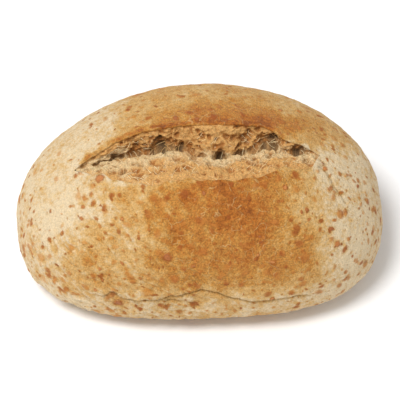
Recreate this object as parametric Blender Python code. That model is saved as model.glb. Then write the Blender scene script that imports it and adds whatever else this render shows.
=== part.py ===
"""An oval wholemeal bread roll: a domed loaf on a flat base, with one long burst score along the top
whose back lip stands over the torn crumb, and a crease along the foot of the front wall."""

import math

import bmesh
import bpy
import numpy as np
from mathutils import Matrix, Vector

# Overall size, in metres, as the roll stands on its base. X is its length, -Y its front.
LENGTH = 0.115
WIDTH = 0.080
HEIGHT = 0.050
BELLY = 0.014  # the height at which it is widest
FRONT_SHARE = 0.487  # part of the width in front of the long axis
FOOT_CUT = 0.0015  # how far the rounded underside runs below the table before it is cut flat

# How full each outline is: 2 is an ellipse, and more is squarer
FRONT_FULL = 2.75
BACK_FULL = 1.87
RIDGE_FULL = 2.1
DOME_FULL = 2.21
FOOT_FULL = 3.04
HEEL_FULL = 3.53

# The +X end is a little broader and higher than the other
END_BROADER = 0.037
END_HIGHER = 0.039

# The score, a slit along the top that burst open in the oven
SCORE_HALF = 0.0375
SCORE_X = -0.0008
SCORE_Y = -0.006
EAR_REACH = 0.0093  # from the slit back to the ear's edge
EAR_FULL = 2.6
CRUMB_REACH = 0.0108  # from the slit forward to where the crust begins again
CRUMB_FULL = 2.4
SCORE_DEPTH = 0.0072
SCORE_DEPTH_FULL = 3.0
SLIT_SHUT = 0.0009  # half the gap that is left in the ring of points past the slit's ends
EAR_LIFT = 0.0009
EAR_LIFT_ROOM = 0.008
# Across the score, from the ear's edge (0) to the front edge (1): how far over, and what part of the depth
TORN_ACROSS = (0.0, -0.030, 0.010, 0.10, 0.22, 0.42, 0.68, 0.94, 1.0)
TORN_DEPTH = (0.0, 0.20, 0.50, 0.86, 1.00, 0.84, 0.48, 0.16, 0.0)
TORN_STEPS = (0.0, 0.10, 0.22, 0.34, 0.46, 0.62, 0.80, 0.94, 1.0)

# (place along X, width, size): where the torn edges leave their even curve
EAR_NICKS = ((0.0275, 0.0028, -0.0016), (-0.0165, 0.0040, 0.0005), (0.0190, 0.0035, 0.0008))
FRONT_NICKS = ((-0.0045, 0.0022, 0.0019), (0.0320, 0.0045, -0.0024), (-0.0300, 0.0020, 0.0014))

# The crease round the foot of the front wall
CREASE_HALF = 0.034
CREASE_Z = 0.0165
CREASE_ARCH = 0.0042
CREASE_ARCH_X = -0.001
CREASE_ARCH_WIDTH = 0.009
CREASE_DEPTH = 0.0014
CREASE_WIDTH = 0.0012
MOST_CREASE_RISE = 0.3  # at the ends the crease's ring of points stays this low
FOOT_SWELL = 0.0006  # the wall stands out this much below the crease
FOOT_SWELL_ROOM = 0.004

# (X, Z, radius, depth): hollows pressed into the front of the dome
DENTS = ((-0.0075, 0.0370, 0.0032, 0.0009), (0.0030, 0.0400, 0.0030, 0.0005))

# (waves along X, waves round the ring, phase, size): the low lumps of a hand-shaped piece of dough
LUMPS = ((1.4, 2.0, 0.4, 0.00025), (2.2, 3.0, 1.9, 0.00020), (3.1, 4.0, 3.1, 0.00012))

# The mesh: points round each ring, in bands that meet at the ear, the torn edge and the belly
STATIONS = 62
BACK_POINTS = 15
SCORE_POINTS = 15
DOME_POINTS = 15
CREASE_POINTS = 3  # on each side of the crease
FOOT_POINTS = 10
BASE_POINTS = 15
RING_BANDS = (BACK_POINTS, SCORE_POINTS, DOME_POINTS, CREASE_POINTS, CREASE_POINTS, FOOT_POINTS, BASE_POINTS)
RING_POINTS = sum(RING_BANDS)
CREASE_ROOM = math.radians(5)
FOOT_TURN = math.radians(225)

CRUST_COLOUR = (0.55, 0.30, 0.12, 1.0)
CRUST_ROUGHNESS = 0.75


def clear_scene():
    for item in list(bpy.data.objects):
        bpy.data.objects.remove(item, do_unlink=True)


def fall(share, fullness):
    """From 1 in the middle to 0 at either end."""
    return max(0.0, 1.0 - abs(share) ** fullness) ** (1.0 / fullness)


def swell(x, nicks):
    return sum(size * math.exp(-(((x - place) / width) ** 2)) for place, width, size in nicks)


def half_widths(station):
    """Front and back half-width of the cross-section."""
    broader = 1.0 + END_BROADER * station
    front = WIDTH * FRONT_SHARE * fall(station, FRONT_FULL) * broader
    back = WIDTH * (1.0 - FRONT_SHARE) * fall(station, BACK_FULL) * broader
    return front, back


def rise(station):
    return (HEIGHT - BELLY) * fall(station, RIDGE_FULL) * (1.0 + END_HIGHER * station)


def dome_point(station, turn):
    """A point of the uncut loaf. The turn goes from the back (0) over the top to the front (pi) and under."""
    front, back = half_widths(station)
    half = front if math.cos(turn) < 0 else back
    over = math.sin(turn) >= 0
    fullness = DOME_FULL if over else FOOT_FULL
    across = math.copysign(abs(math.cos(turn)) ** (2.0 / fullness), math.cos(turn))
    up = abs(math.sin(turn)) ** (2.0 / fullness)
    if over:
        return half * across, BELLY + rise(station) * up
    drop = (BELLY + FOOT_CUT) * fall(station, HEEL_FULL)
    return half * across, max(0.0, BELLY - drop * up)


def turn_at(station, y):
    """The turn at which the top of the uncut loaf has this Y."""
    front, back = half_widths(station)
    half = front if y < 0 else back
    share = max(-1.0, min(1.0, y / max(half, 1e-9)))
    return math.acos(math.copysign(abs(share) ** (DOME_FULL / 2.0), share))


def score_edges(station):
    """Y of the ear's edge and of the front edge, and how deep the score is between them."""
    x = station * LENGTH / 2.0
    share = (x - SCORE_X) / SCORE_HALF
    inside = abs(share) < 1.0
    ear = EAR_REACH * (1.0 - abs(share) ** EAR_FULL) + swell(x, EAR_NICKS) if inside else 0.0
    crumb = CRUMB_REACH * (1.0 - abs(share) ** CRUMB_FULL) - swell(x, FRONT_NICKS) if inside else 0.0
    depth = SCORE_DEPTH * (1.0 - abs(share) ** SCORE_DEPTH_FULL) if inside else 0.0
    shut = SLIT_SHUT * fall(station, 2.0)
    middle = SCORE_Y * fall(station, 2.0)
    return middle + max(ear, shut), middle - max(crumb, shut), depth


def torn_point(station, share):
    """A point of the torn crumb, from the ear's edge (0) to the front edge (1)."""
    ear, front, depth = score_edges(station)
    over = np.interp(share, TORN_STEPS, TORN_ACROSS)
    if depth == 0.0:
        over = share
    y = ear + (front - ear) * over
    inside = min(ear, max(front, y))
    down = depth * np.interp(share, TORN_STEPS, TORN_DEPTH)
    return y, dome_point(station, turn_at(station, inside))[1] - down


def ear_lift(station, y):
    """How much the crust behind the score curls up towards its torn edge."""
    ear, _, depth = score_edges(station)
    return EAR_LIFT * depth / SCORE_DEPTH * math.exp(-(((y - ear) / EAR_LIFT_ROOM) ** 2))


def crease_height(x):
    return CREASE_Z + CREASE_ARCH * math.exp(-(((x - CREASE_ARCH_X) / CREASE_ARCH_WIDTH) ** 2))


def crease_turn(station):
    """The turn at which the crease's height is met on the front wall."""
    up = (crease_height(station * LENGTH / 2.0) - BELLY) / max(rise(station), 1e-9)
    return math.pi - math.asin(min(MOST_CREASE_RISE, up) ** (DOME_FULL / 2.0))


def creased(x, y, z):
    """The front wall with the crease along its foot, and the wall below it standing out."""
    share = x / CREASE_HALF
    if y > 0 or abs(share) >= 1.0:
        return y
    line = crease_height(x)
    fade = 1.0 - abs(share) ** 4
    y += CREASE_DEPTH * fade * math.exp(-(((z - line) / CREASE_WIDTH) ** 2))
    if z < line:
        y -= FOOT_SWELL * fade * (1.0 - math.exp(-(line - z) / FOOT_SWELL_ROOM)) * min(1.0, z / FOOT_SWELL_ROOM)
    return y


def dented(x, y, z):
    if y > 0:
        return y, z
    for at_x, at_z, radius, depth in DENTS:
        near = ((x - at_x) ** 2 + (z - at_z) ** 2) / radius**2
        press = depth * math.exp(-near)
        y += press * 0.6
        z -= press * 0.8
    return y, z


def lump(station, turn):
    """How much the surface stands off the even loaf, as a share of its size."""
    total = sum(
        size * math.sin(along * math.pi * station + phase) * math.cos(around * turn + 2.0 * phase)
        for along, around, phase, size in LUMPS
    )
    return 1.0 + total / (WIDTH / 2.0)


def ring_turn(station, ring_share):
    """Where a point of the even ring goes: (turn, None), or (turn, share across the score)."""
    ear, front, _ = score_edges(station)
    crease = crease_turn(station)
    turns = (
        0.0,
        turn_at(station, ear),
        turn_at(station, front),
        crease - CREASE_ROOM,
        crease,
        crease + CREASE_ROOM,
        FOOT_TURN,
        2.0 * math.pi,
    )
    starts = np.concatenate(([0], np.cumsum(RING_BANDS)))
    point = ring_share * RING_POINTS
    turn = float(np.interp(point, starts, turns))
    share = (point - starts[1]) / SCORE_POINTS
    return turn, share if 0.0 < share < 1.0 else None


def place(vertex):
    """Moves a point of the unit sphere, whose poles are the roll's two ends, to the roll's surface."""
    station = max(-1.0, min(1.0, vertex.co.x))
    x = station * LENGTH / 2.0
    if abs(station) > 1.0 - 1e-6:
        vertex.co = Vector((x, 0.0, BELLY))
        return
    ring_share = (math.atan2(vertex.co.z, vertex.co.y) / (2.0 * math.pi)) % 1.0
    turn, share = ring_turn(station, ring_share)
    if share is None:
        y, z = dome_point(station, turn)
        y, z = dented(x, creased(x, y, z), z)
        if turn <= turn_at(station, score_edges(station)[0]) + 1e-6:
            z += ear_lift(station, y)
    else:
        y, z = torn_point(station, share)
        z += ear_lift(station, score_edges(station)[0]) * (1.0 - share)
    size = lump(station, turn)
    vertex.co = Vector((x, y * size, z * (size if z > BELLY / 2.0 else 1.0)))


def fit_to_size(bm):
    """Makes the overall size exact, centred over its base."""
    points = np.array([vertex.co for vertex in bm.verts])
    low = points.min(axis=0)
    high = points.max(axis=0)
    middle = Vector(((low[0] + high[0]) / 2.0, (low[1] + high[1]) / 2.0, low[2]))
    bmesh.ops.translate(bm, verts=bm.verts, vec=-middle)
    sides = Vector((LENGTH, WIDTH, HEIGHT))
    bmesh.ops.scale(bm, verts=bm.verts, vec=[sides[i] / (high[i] - low[i]) for i in range(3)])


def bread_roll():
    bm = bmesh.new()
    bmesh.ops.create_uvsphere(bm, u_segments=RING_POINTS, v_segments=STATIONS, radius=1.0)
    bmesh.ops.rotate(bm, verts=bm.verts, matrix=Matrix.Rotation(math.pi / 2.0, 3, "Y"))
    for vertex in bm.verts:
        place(vertex)
    fit_to_size(bm)
    bmesh.ops.triangulate(bm, faces=bm.faces)
    bmesh.ops.recalc_face_normals(bm, faces=bm.faces)
    mesh = bpy.data.meshes.new("bread_roll")
    bm.to_mesh(mesh)
    bm.free()
    return bpy.data.objects.new("bread_roll", mesh)


def crust_material():
    material = bpy.data.materials.new("crust")
    material.use_nodes = True
    shader = material.node_tree.nodes["Principled BSDF"]
    shader.inputs["Base Color"].default_value = CRUST_COLOUR
    shader.inputs["Roughness"].default_value = CRUST_ROUGHNESS
    return material


def build():
    clear_scene()
    collection = bpy.data.collections.new("bread_roll")
    bpy.context.scene.collection.children.link(collection)
    roll = bread_roll()
    roll.data.materials.append(crust_material())
    collection.objects.link(roll)


build()
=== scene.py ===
# %% [markdown]
# # An oval wholemeal bread roll
# A piece of soft dough is rounded, left to rise on a flat tray and slit once along its top. In the oven
# the slit bursts: its back lip lifts into an "ear", and the soft crumb tears open below it. Here the
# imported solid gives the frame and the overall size, and the skin, the torn crumb, its threads and the
# bran are made over it.

# %% Bring in the frame
import math

import bmesh
import bpy
import numpy as np
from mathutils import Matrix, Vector
from mathutils.bvhtree import BVHTree


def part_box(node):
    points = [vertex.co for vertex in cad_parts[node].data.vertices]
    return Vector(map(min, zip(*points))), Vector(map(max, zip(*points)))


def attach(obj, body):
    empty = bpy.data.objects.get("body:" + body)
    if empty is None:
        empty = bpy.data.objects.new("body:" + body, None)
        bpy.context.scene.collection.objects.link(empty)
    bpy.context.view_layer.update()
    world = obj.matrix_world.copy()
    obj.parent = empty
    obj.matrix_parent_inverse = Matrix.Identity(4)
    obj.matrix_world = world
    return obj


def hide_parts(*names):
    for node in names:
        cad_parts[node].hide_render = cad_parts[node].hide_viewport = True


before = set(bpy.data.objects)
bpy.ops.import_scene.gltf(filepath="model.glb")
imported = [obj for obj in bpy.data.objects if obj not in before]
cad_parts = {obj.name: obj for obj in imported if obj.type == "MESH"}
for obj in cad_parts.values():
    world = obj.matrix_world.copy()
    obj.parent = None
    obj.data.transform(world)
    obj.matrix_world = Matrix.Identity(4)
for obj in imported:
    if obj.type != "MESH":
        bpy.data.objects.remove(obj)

NODE = "bread_roll"
MM = 0.001
box_low, box_high = (np.array(corner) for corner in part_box(NODE))
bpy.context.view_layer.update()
print("the solid measures", np.round((box_high - box_low) / MM, 1), "mm")

# %% [markdown]
# ## Two kinds of unevenness
# Nothing on a roll is even, so almost every size below is disturbed by one of two patterns. `grain` is
# smooth random noise, for lumps, wrinkles and ragged edges. `bubbles` scatters round cells through
# space, as the gas does in dough, and tells how near each point is to the middle of its cell. Both are
# worked out from the position alone, so the same roll comes out each time.


# %% Noise and bubbles
MIX_X, MIX_Y, MIX_Z, MIX_SEED, MIX_LAST = 73856093, 19349663, 83492791, 26544357, 12741261
FAR_OFF = 1000.0  # cells are counted from far away, so that no cell has a negative number
BUBBLE_REACH, SMALLEST_BUBBLE = 0.62, 0.35  # as shares of a cell and of the largest bubble


def corner_value(cell, seed):
    """A fixed random number from 0 to 1 for each whole-numbered place."""
    x, y, z = (cell[..., axis].astype(np.int64) for axis in range(3))
    mixed = (x * MIX_X) ^ (y * MIX_Y) ^ (z * MIX_Z) ^ (seed * MIX_SEED)
    mixed = ((mixed ^ (mixed >> 13)) * MIX_LAST) & 0x7FFFFFFF
    return ((mixed ^ (mixed >> 11)) & 0xFFFF) / 65535.0


def in_cells(points, size):
    """The points counted in cells of this size in millimetres, and the cell that each is in."""
    place = np.asarray(points) / (size * MM) + FAR_OFF
    return place, np.floor(place)


def eased(share):
    return share * share * (3.0 - 2.0 * share)


def grain(points, size, seed):
    """Smooth noise from -1 to 1, with lumps of this size in millimetres."""
    place, cell = in_cells(points, size)
    part = eased(place - cell)
    total = 0.0
    for corner in np.ndindex(2, 2, 2):
        weight = np.prod(np.where(corner, part, 1.0 - part), axis=-1)
        total = total + weight * corner_value(cell + corner, seed)
    return 2.0 * total - 1.0


def rough(points, size, seed, layers=3):
    """Grain on grain: each layer is half the size and half as strong."""
    return sum(0.5**k * grain(points, size / 2**k, seed + 17 * k) for k in range(layers))


def bubbles(points, size, seed):
    """Nearness to the middle of the nearest bubble, and to a wall between two, both from 0 to 1."""
    place, cell = in_cells(points, size)
    first = np.full(place.shape[:-1], 9.0)
    second = first.copy()
    for step in np.ndindex(3, 3, 3):
        near = cell + np.array(step) - 1.0
        middle = near + np.stack([corner_value(near, seed + k) for k in (1, 2, 3)], -1)
        reach = SMALLEST_BUBBLE + (1.0 - SMALLEST_BUBBLE) * corner_value(near, seed + 4)
        away = np.linalg.norm(place - middle, axis=-1) / (BUBBLE_REACH * reach)
        second = np.minimum(second, np.maximum(first, away))
        first = np.minimum(first, away)
    return np.clip(1.0 - first**2, 0.0, 1.0), np.clip(1.0 - 2.0 * (second - first), 0.0, 1.0)


def smooth_step(value, low, high):
    return eased(np.clip((value - low) / (high - low), 0.0, 1.0))


def bell(value, middle, width):
    return np.exp(-(((value - middle) / width) ** 2))


def smoothed(values, reach, rounds):
    """Each value averaged with the eight that lie this many steps away, time and again."""
    rows, columns = values.shape
    steps = (0, reach, 2 * reach)
    for _ in range(rounds):
        padded = np.pad(values, reach, mode="edge")
        values = sum(padded[a : a + rows, b : b + columns] for a in steps for b in steps) / 9.0
    return values


def in_mm(points):
    return tuple(points[..., axis] / MM for axis in range(3))


print("noise at three places:", np.round(grain(np.eye(3) * 0.01, 3.0, 1), 2))

# %% [markdown]
# ## The loaf
# Seen from above, a roll like this is a full oval, squarer at the front, where it met its neighbour on
# the tray, and rounder at the back. Cut across, it is a dome on a low, squarish foot. Each outline is a
# power curve: a fullness of 2 is an ellipse, and a higher one is squarer. A point of the loaf is given
# by its station, from -1 at one end to 1 at the other, and its turn round the section, from the back
# (0) over the top to the front (half a turn) and on underneath.

# %% Shape of the loaf
LENGTH, WIDTH, HEIGHT = 115 * MM, 80 * MM, 50 * MM
BELLY = 14 * MM  # the height at which it is widest
FRONT_SHARE = 0.487  # of the width lies in front of the middle
FOOT_CUT = 1.5 * MM  # how far the round foot is cut off flat
FRONT_FULL, BACK_FULL, RIDGE_FULL = 2.75, 1.87, 2.1
DOME_FULL, FOOT_FULL, HEEL_FULL = 2.21, 3.04, 3.53
END_BROADER, END_HIGHER = 0.037, 0.039  # the right end is this share larger, the left end smaller
LEAST_HALF = 1e-9  # keeps a division from failing at the very ends


def fall(share, fullness):
    return np.clip(1.0 - np.abs(share) ** fullness, 0.0, 1.0) ** (1.0 / fullness)


def half_widths(station):
    broader = 1.0 + END_BROADER * station
    front = WIDTH * FRONT_SHARE * fall(station, FRONT_FULL) * broader
    back = WIDTH * (1.0 - FRONT_SHARE) * fall(station, BACK_FULL) * broader
    return front, back


def rise(station):
    return (HEIGHT - BELLY) * fall(station, RIDGE_FULL) * (1.0 + END_HIGHER * station)


def loaf_point(station, turn):
    """Y and Z of the loaf before it bursts."""
    front, back = half_widths(station)
    cosine, sine = np.cos(turn), np.sin(turn)
    half = np.where(cosine < 0, front, back)
    power = np.where(sine >= 0, 2.0 / DOME_FULL, 2.0 / FOOT_FULL)
    y = half * np.sign(cosine) * np.abs(cosine) ** power
    drop = (BELLY + FOOT_CUT) * fall(station, HEEL_FULL)
    height = np.where(sine >= 0, rise(station), -drop) * np.abs(sine) ** power
    return y, np.maximum(BELLY + height, 0.0)


def share_across(station, y):
    """How far Y lies towards the front (-1) or the back (1) of the loaf."""
    front, back = half_widths(station)
    return np.clip(y / np.maximum(np.where(y < 0, front, back), LEAST_HALF), -1.0, 1.0)


def top_height(station, y):
    dome = (1.0 - np.abs(share_across(station, y)) ** DOME_FULL) ** (1.0 / DOME_FULL)
    return BELLY + rise(station) * dome


def turn_at(station, y):
    share = share_across(station, y)
    return np.arccos(np.sign(share) * np.abs(share) ** (DOME_FULL / 2.0))


# %% [markdown]
# ## Where it burst
# The slit opened into a long leaf shape, almost as long as the straight part of the top. Its back edge
# is the ear, thin, crisp and a little raised; its front edge is where the crust begins again, and is
# ragged. Both edges follow an even curve with nicks in it, and finer waves over that.

# %% Edges of the score
SCORE_HALF, SCORE_X, SCORE_Y = 37.5 * MM, -0.8 * MM, -6.0 * MM
EAR_REACH, EAR_FULL = 9.3 * MM, 2.6
CRUMB_REACH, CRUMB_FULL = 10.8 * MM, 2.4
SCORE_DEPTH, SCORE_DEPTH_FULL = 7.2 * MM, 3.0
EAR_LIFT, EAR_LIFT_ROOM = 0.9 * MM, 8.0 * MM
STRIP_APART = 0.1
# Place along X, width and size in mm
EAR_NICKS = ((27.5, 2.8, -1.6), (-16.5, 4.0, 0.5), (19.0, 3.5, 0.8))
FRONT_NICKS = ((-4.5, 2.2, 1.9), (32.0, 4.5, -2.4), (-30.0, 2.0, 1.4))
# Size and length in mm, strip of noise and seed
EAR_WAVES = ((0.42, 4.0, 1, 3), (0.34, 1.5, 2, 4))
FRONT_WAVES = ((0.65, 5.0, 3, 5), (0.45, 1.8, 4, 6))


def swell(x, nicks):
    return sum(size * MM * bell(x, place * MM, width * MM) for place, width, size in nicks)


def along(x, strip):
    """Points spread along X, to read noise from: each strip lies well away from the others."""
    return np.stack([x, np.full_like(x, strip * STRIP_APART), np.zeros_like(x)], -1)


def wander(x, waves):
    return MM * sum(size * grain(along(x, strip), length, seed) for size, length, strip, seed in waves)


def score_edges(station):
    """Y of the ear's edge, Y of the front edge, and the depth between them."""
    x = station * LENGTH / 2.0
    share = np.clip(np.abs((x - SCORE_X) / SCORE_HALF), 0.0, 1.0)
    fade = smooth_step(1.0 - share, 0.0, 0.08)
    ear = EAR_REACH * (1.0 - share**EAR_FULL) + fade * swell(x, EAR_NICKS)
    crumb = CRUMB_REACH * (1.0 - share**CRUMB_FULL) - fade * swell(x, FRONT_NICKS)
    ear = ear + fade * wander(x, EAR_WAVES)
    crumb = crumb + fade * wander(x, FRONT_WAVES)
    middle = SCORE_Y * fall(station, 2.0)
    depth = SCORE_DEPTH * (1.0 - share**SCORE_DEPTH_FULL)
    return middle + np.maximum(ear, 0.0), middle - np.maximum(crumb, 0.0), depth


ear_mm, front_mm, depth_mm = (float(value[0]) / MM for value in score_edges(np.zeros(1)))
print("halfway along, the ear is at Y %.1f and the front edge at Y %.1f," % (ear_mm, front_mm))
print("and it is %.1f mm deep" % depth_mm)

# %% [markdown]
# ## The crust
# The crust is one skin that starts at the front edge of the burst, runs down the front, under the base
# and up the back to the ear, and is tucked in a little at both torn edges, as a real crust is about a
# millimetre thick. It is a grid sheet, one row per station, with each point moved to its place. The
# points of a row sit closest where the front wall is creased, because a crease is only as wide as a
# hair.

# %% Lay out the crust
STATIONS = 276
LAST_STATION = math.radians(89.2)
CREASE_TOP, CREASE_FOOT = 25 * MM, math.radians(201)
CREASE_HIGHEST, CREASE_AWAY = 0.75, 0.2  # of the dome's height, and in radians below the front edge
BASE_BACK, WALL_BACK, EAR_FROM = math.radians(338), math.radians(362), math.radians(350)
# Points down the front, round the crease, under, up the back wall and up to the ear
BANDS = (104, 64, 22, 26, 100)
LIP_POINTS, LIP_DEPTH, LIP_TUCK = 3, 0.9 * MM, 0.35 * MM


def crust_grid():
    """Station and turn of every point from the front edge round to the ear."""
    station = np.sin(np.linspace(-LAST_STATION, LAST_STATION, STATIONS))
    ear, front, _ = score_edges(station)
    up = np.minimum((CREASE_TOP - BELLY) / rise(station), CREASE_HIGHEST)
    knots = np.stack(
        [
            turn_at(station, front),
            math.pi - np.arcsin(up ** (DOME_FULL / 2.0)),
            np.full(STATIONS, CREASE_FOOT),
            np.full(STATIONS, BASE_BACK),
            np.full(STATIONS, WALL_BACK),
            math.tau + turn_at(station, ear),
        ]
    )
    knots[1] = np.maximum(knots[1], knots[0] + CREASE_AWAY)
    starts = np.concatenate(([0], np.cumsum(BANDS)))
    count = np.arange(starts[-1] + 1)
    turn = np.stack([np.interp(count, starts, knots[:, row]) for row in range(STATIONS)])
    return station[:, None] + 0.0 * turn, turn


def lift_ear(station, y, z, turn):
    """The crust behind the burst curls up towards the ear's edge."""
    ear, _, depth = score_edges(station)
    lift = EAR_LIFT * depth / SCORE_DEPTH * bell(y, ear, EAR_LIFT_ROOM)
    return z + np.where(turn > EAR_FROM, lift, 0.0)


def fitted(points, low, high):
    """The made shape brought to the solid's own box."""
    share = (points - low) / (high - low)
    return box_low + share * (box_high - box_low)


crust_station, crust_turn = crust_grid()
crust_y, crust_z = loaf_point(crust_station, crust_turn)
crust_z = lift_ear(crust_station, crust_y, crust_z, crust_turn)
crust = np.stack([crust_station * LENGTH / 2.0, crust_y, crust_z], -1)
made_low = np.array([-LENGTH / 2.0, crust_y.min(), 0.0])
made_high = np.array([LENGTH / 2.0, crust_y.max(), crust_z.max()])
crust = fitted(crust, made_low, made_high)
print("crust grid:", crust.shape[:2], "points,", round(LENGTH / MM / STATIONS, 2), "mm apart along it")


# %% [markdown]
# ## Marks in the crust
# The skin of a baked roll is full of small history: low lumps from the hand, slack wrinkles running up
# across the front from where the dough was rolled, two hair-thin folds at the foot where the spreading
# dough rolled under itself, a few shallow dents, and faint pocks where bubbles of gas lay close under
# it. All are real relief in the mesh, measured along the outward normal; the very fine grain is left to
# the material.


# %% Folds and splits
FOLD_HALF, FOLD_OVER = 0.42 * MM, 3.2 * MM  # half-width of the crack, and reach of the wall over it
FOLD_SHAKES = ((0.35, 3.5, 21), (0.2, 1.2, 22))  # size, length in mm and seed
FOLD_IN, FOLD_OUT = 6 * MM, 9 * MM  # how far along X a fold fades at its left and its right end
LONG_FOLD_Z, LONG_FOLD_ENDS, LONG_FOLD_SINKS = 15.6 * MM, (-18 * MM, 37 * MM), 2.2 * MM
LONG_FOLD_ARCHES = ((-1.5, 9.5, 5.6), (-15.0, 6.0, 0.9))  # as the nicks above
LEFT_FOLD_Z, LEFT_FOLD_ENDS = 16.8 * MM, (-36 * MM, -3 * MM)
LEFT_FOLD_ARCHES = ((-28.0, 2.2, 2.2),)
# Splits that run on from the right end of the burst: (X, Y) of both ends and half-width, in mm
TOP_CRACKS = (
    ((36.0, -9.8), (38.6, -11.0), 0.45),
    ((38.6, -11.0), (40.4, -14.6), 0.40),
    ((40.4, -14.6), (44.0, -18.6), 0.28),
    ((35.6, -6.6), (38.2, -8.0), 0.32),
    ((38.2, -8.0), (36.4, -10.0), 0.30),
)
UPPER_HALF = 25 * MM  # the splits and the burst lie above this height


def folds(points):
    """Nearness to the two folds' cracks, and how far the wall above them stands out."""
    x, y, z = (points[..., axis] for axis in range(3))
    level = points * (1, 0, 0)  # so that the noise changes along X only
    shake = sum(size * MM * grain(level, length, seed) for size, length, seed in FOLD_SHAKES)
    sunk = LONG_FOLD_SINKS * smooth_step(x, 27 * MM, 36 * MM)
    long_line = LONG_FOLD_Z + swell(x, LONG_FOLD_ARCHES) - sunk + shake
    left_line = LEFT_FOLD_Z + swell(x, LEFT_FOLD_ARCHES) + shake
    crack, over = 0.0, 0.0
    for line, (start, end) in ((long_line, LONG_FOLD_ENDS), (left_line, LEFT_FOLD_ENDS)):
        ends = smooth_step(x, start, start + FOLD_IN) * smooth_step(-x, -end, -end + FOLD_OUT)
        crack = np.maximum(crack, ends * bell(z, line, FOLD_HALF))
        above = smooth_step(z, line - 0.2 * MM, line + 0.5 * MM)
        over = over + ends * above * bell(z, line, FOLD_OVER)
    return np.where(y < 0, crack, 0.0), np.where(y < 0, np.minimum(over, 1.0), 0.0)


def top_cracks(points):
    """Nearness to the splits at the right end of the burst."""
    shake = np.stack([grain(points, 1.3, seed) for seed in (37, 38)], -1)
    flat = points[..., :2] / MM + 0.30 * shake
    nearest = np.zeros(points.shape[:-1])
    for start, end, width in TOP_CRACKS:
        start, way = np.array(start), np.array(end) - np.array(start)
        share = np.clip(((flat - start) @ way) / (way @ way), 0.0, 1.0)
        away = np.linalg.norm(flat - start - share[..., None] * way, axis=-1)
        nearest = np.maximum(nearest, bell(away, 0.0, width))
    return np.where(points[..., 2] > UPPER_HALF, nearest, 0.0)


print("points of the grid in a fold:", int((folds(crust)[0] > 0.5).sum()))

# %% Relief of the crust
LUMPS = ((0.24, 16.0, 31, 2), (0.15, 4.0, 32, 2), (0.07, 1.1, 33, 1))  # height, size, seed, layers
# X, Z, radius and depth in mm
DENTS = ((-7.5, 37.0, 2.3, 0.75), (-9.6, 36.0, 1.6, 0.5), (4.5, 39.5, 2.4, 0.35))
WRINKLE_HEIGHT, WRINKLE_LEVEL, WRINKLE_SIZE = 0.64, 0.45, 2.0
POCK_SIZE, POCK_DEPTH, POCK_RIM = 3.4, 0.14, 0.07
CRACK_DEPTH, OVERHANG, SPLIT_DEPTH = 0.75, 0.34, 0.5


def outward(points):
    """Unit normals of a grid sheet of points."""
    down = np.gradient(points, axis=0)
    across = np.gradient(points, axis=1)
    normal = np.cross(across, down)
    return normal / np.maximum(np.linalg.norm(normal, axis=-1, keepdims=True), 1e-12)


def wrinkles(points):
    """Slanting ridges over the left and middle of the front, from 0 to 1 less their level."""
    x, y, z = (points[..., axis] for axis in range(3))
    slack = np.stack([x * 0.62 + z * 0.95, y * 0.25, (z - x) * 0.22], -1)
    slack = slack + 0.8 * MM * rough(points, 5.0, 34, 2)[..., None]
    ridged = 1.0 - np.abs(grain(slack, WRINKLE_SIZE, 35))
    front = smooth_step(-y, 12 * MM, 26 * MM) * smooth_step(-x, -22 * MM, 8 * MM)
    return front * (ridged**2 - WRINKLE_LEVEL)


def relief(points):
    """Height of the crust's skin over the even loaf, in metres."""
    x, y, z = in_mm(points)
    height = sum(size * rough(points, length, seed, layers) for size, length, seed, layers in LUMPS)
    height = height + WRINKLE_HEIGHT * wrinkles(points)
    cells, walls = bubbles(points, POCK_SIZE, 36)
    height = height - POCK_DEPTH * cells**2 + POCK_RIM * walls
    for at_x, at_z, radius, depth in DENTS:
        near = ((x - at_x) ** 2 + 1.3 * (z - at_z) ** 2) / radius**2
        height = height - np.where(y < 0, depth * np.exp(-near), 0.0)
    crack, over = folds(points)
    height = height - CRACK_DEPTH * crack + OVERHANG * over - SPLIT_DEPTH * top_cracks(points)
    return height * smooth_step(z, 0.3, 4.0) * MM


crust_height = relief(crust)
skin = crust + outward(crust) * crust_height[..., None]
print("crust relief runs from %.2f to %.2f mm" % (crust_height.min() / MM, crust_height.max() / MM))


# %% The torn edges of the crust
row_station = crust_station[:, 0]


def lip(edge, side):
    """The cut edge, turned down into the burst and tucked under; the deepest row comes first."""
    size = fall(row_station, 2.0)
    rows = []
    for step in range(LIP_POINTS, 0, -1):
        share = step / LIP_POINTS
        move = (0 * size, side * LIP_TUCK * share**2 * size, -LIP_DEPTH * share * size)
        rows.append(edge + np.stack(move, -1))
    return rows


front_lip, ear_lip = lip(skin[:, 0], -1.0), lip(skin[:, -1], 1.0)[::-1]
skin = np.concatenate([np.stack(front_lip, 1), skin, np.stack(ear_lip, 1)], axis=1)
lip_room = ((0, 0), (LIP_POINTS, LIP_POINTS))
plain = np.pad(crust, (*lip_room, (0, 0)), mode="edge")  # the even loaf's points, for the marks
print("with its lips the crust has", skin.shape[1], "points to a row")


# %% [markdown]
# ## From points to a mesh
# Every sheet in this file is made the same way: a grid with one vertex for each point, moved into place
# in one go. Where the burst is shut, the first and last column of the crust are joined, and its two
# ends are drawn to a point. Numbers that the materials need, such as how well baked a place is, are
# stored on the vertices under a name.


# %% Mesh and sheet makers
def placed(name, mesh, smooth):
    if smooth:
        mesh.polygons.foreach_set("use_smooth", [True] * len(mesh.polygons))
    made = bpy.data.objects.new(name, mesh)
    bpy.context.scene.collection.objects.link(made)
    return made


def from_bmesh(name, bm, smooth):
    mesh = bpy.data.meshes.new(name)
    bm.to_mesh(mesh)
    bm.free()
    return placed(name, mesh, smooth)


def skirt(bm, rings):
    """Faces between each ring of vertices and the next."""
    for below, above in zip(rings, rings[1:]):
        for k in range(len(below)):
            n = (k + 1) % len(below)
            bm.faces.new((below[k], below[n], above[n], above[k]))


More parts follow.
